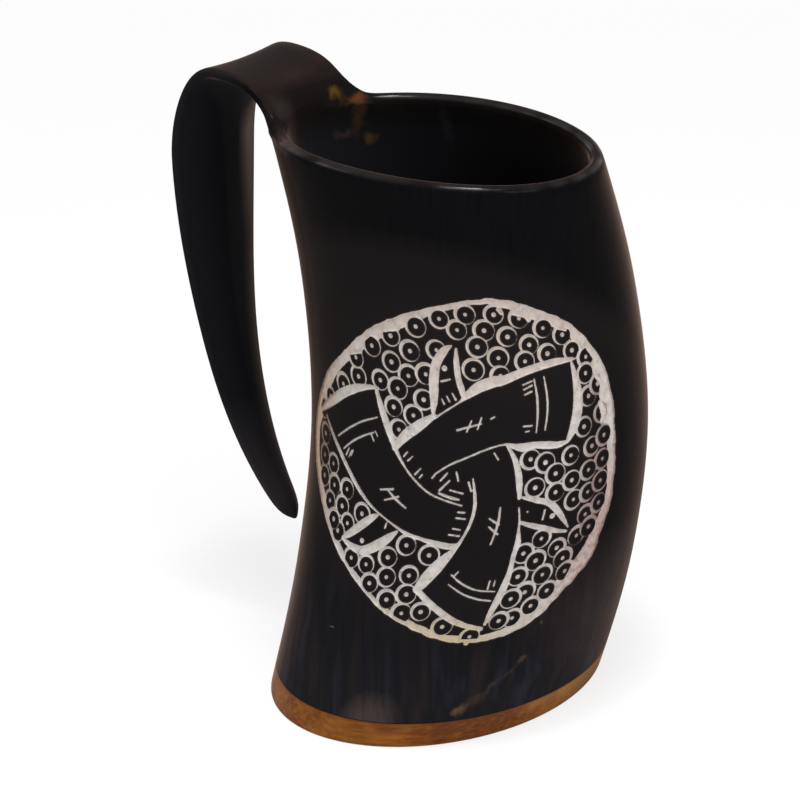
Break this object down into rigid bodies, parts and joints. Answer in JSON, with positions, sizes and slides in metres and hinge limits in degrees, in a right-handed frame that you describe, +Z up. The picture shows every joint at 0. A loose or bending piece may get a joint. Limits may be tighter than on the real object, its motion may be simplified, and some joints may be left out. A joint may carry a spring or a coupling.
{
  "type": "horn drinking cup",
  "caption": "Drinking cup of one curved hollow horn, its handle bent over from the same wall, closed by a wooden base with a plug inside.",
  "frame": {"origin": "centre of the wooden base's underside, on the table", "axes": "+Z up through the mouth, -X towards the handle, -Y towards the carved front"},
  "size_m": [0.1243, 0.0993, 0.1611],
  "materials": {
    "horn": "polished dark horn, nearly black, with faint brown and grey streaks",
    "wood": "oiled warm brown wood with fine grain",
    "glue": "dark brown hardened adhesive",
    "resin": "brown food-safe resin"
  },
  "bodies": {
    "root": {"horn_body": "horn", "wood_base": "wood", "glue_film": "glue", "sealing_bead": "resin"}
  },
  "joints": []
}
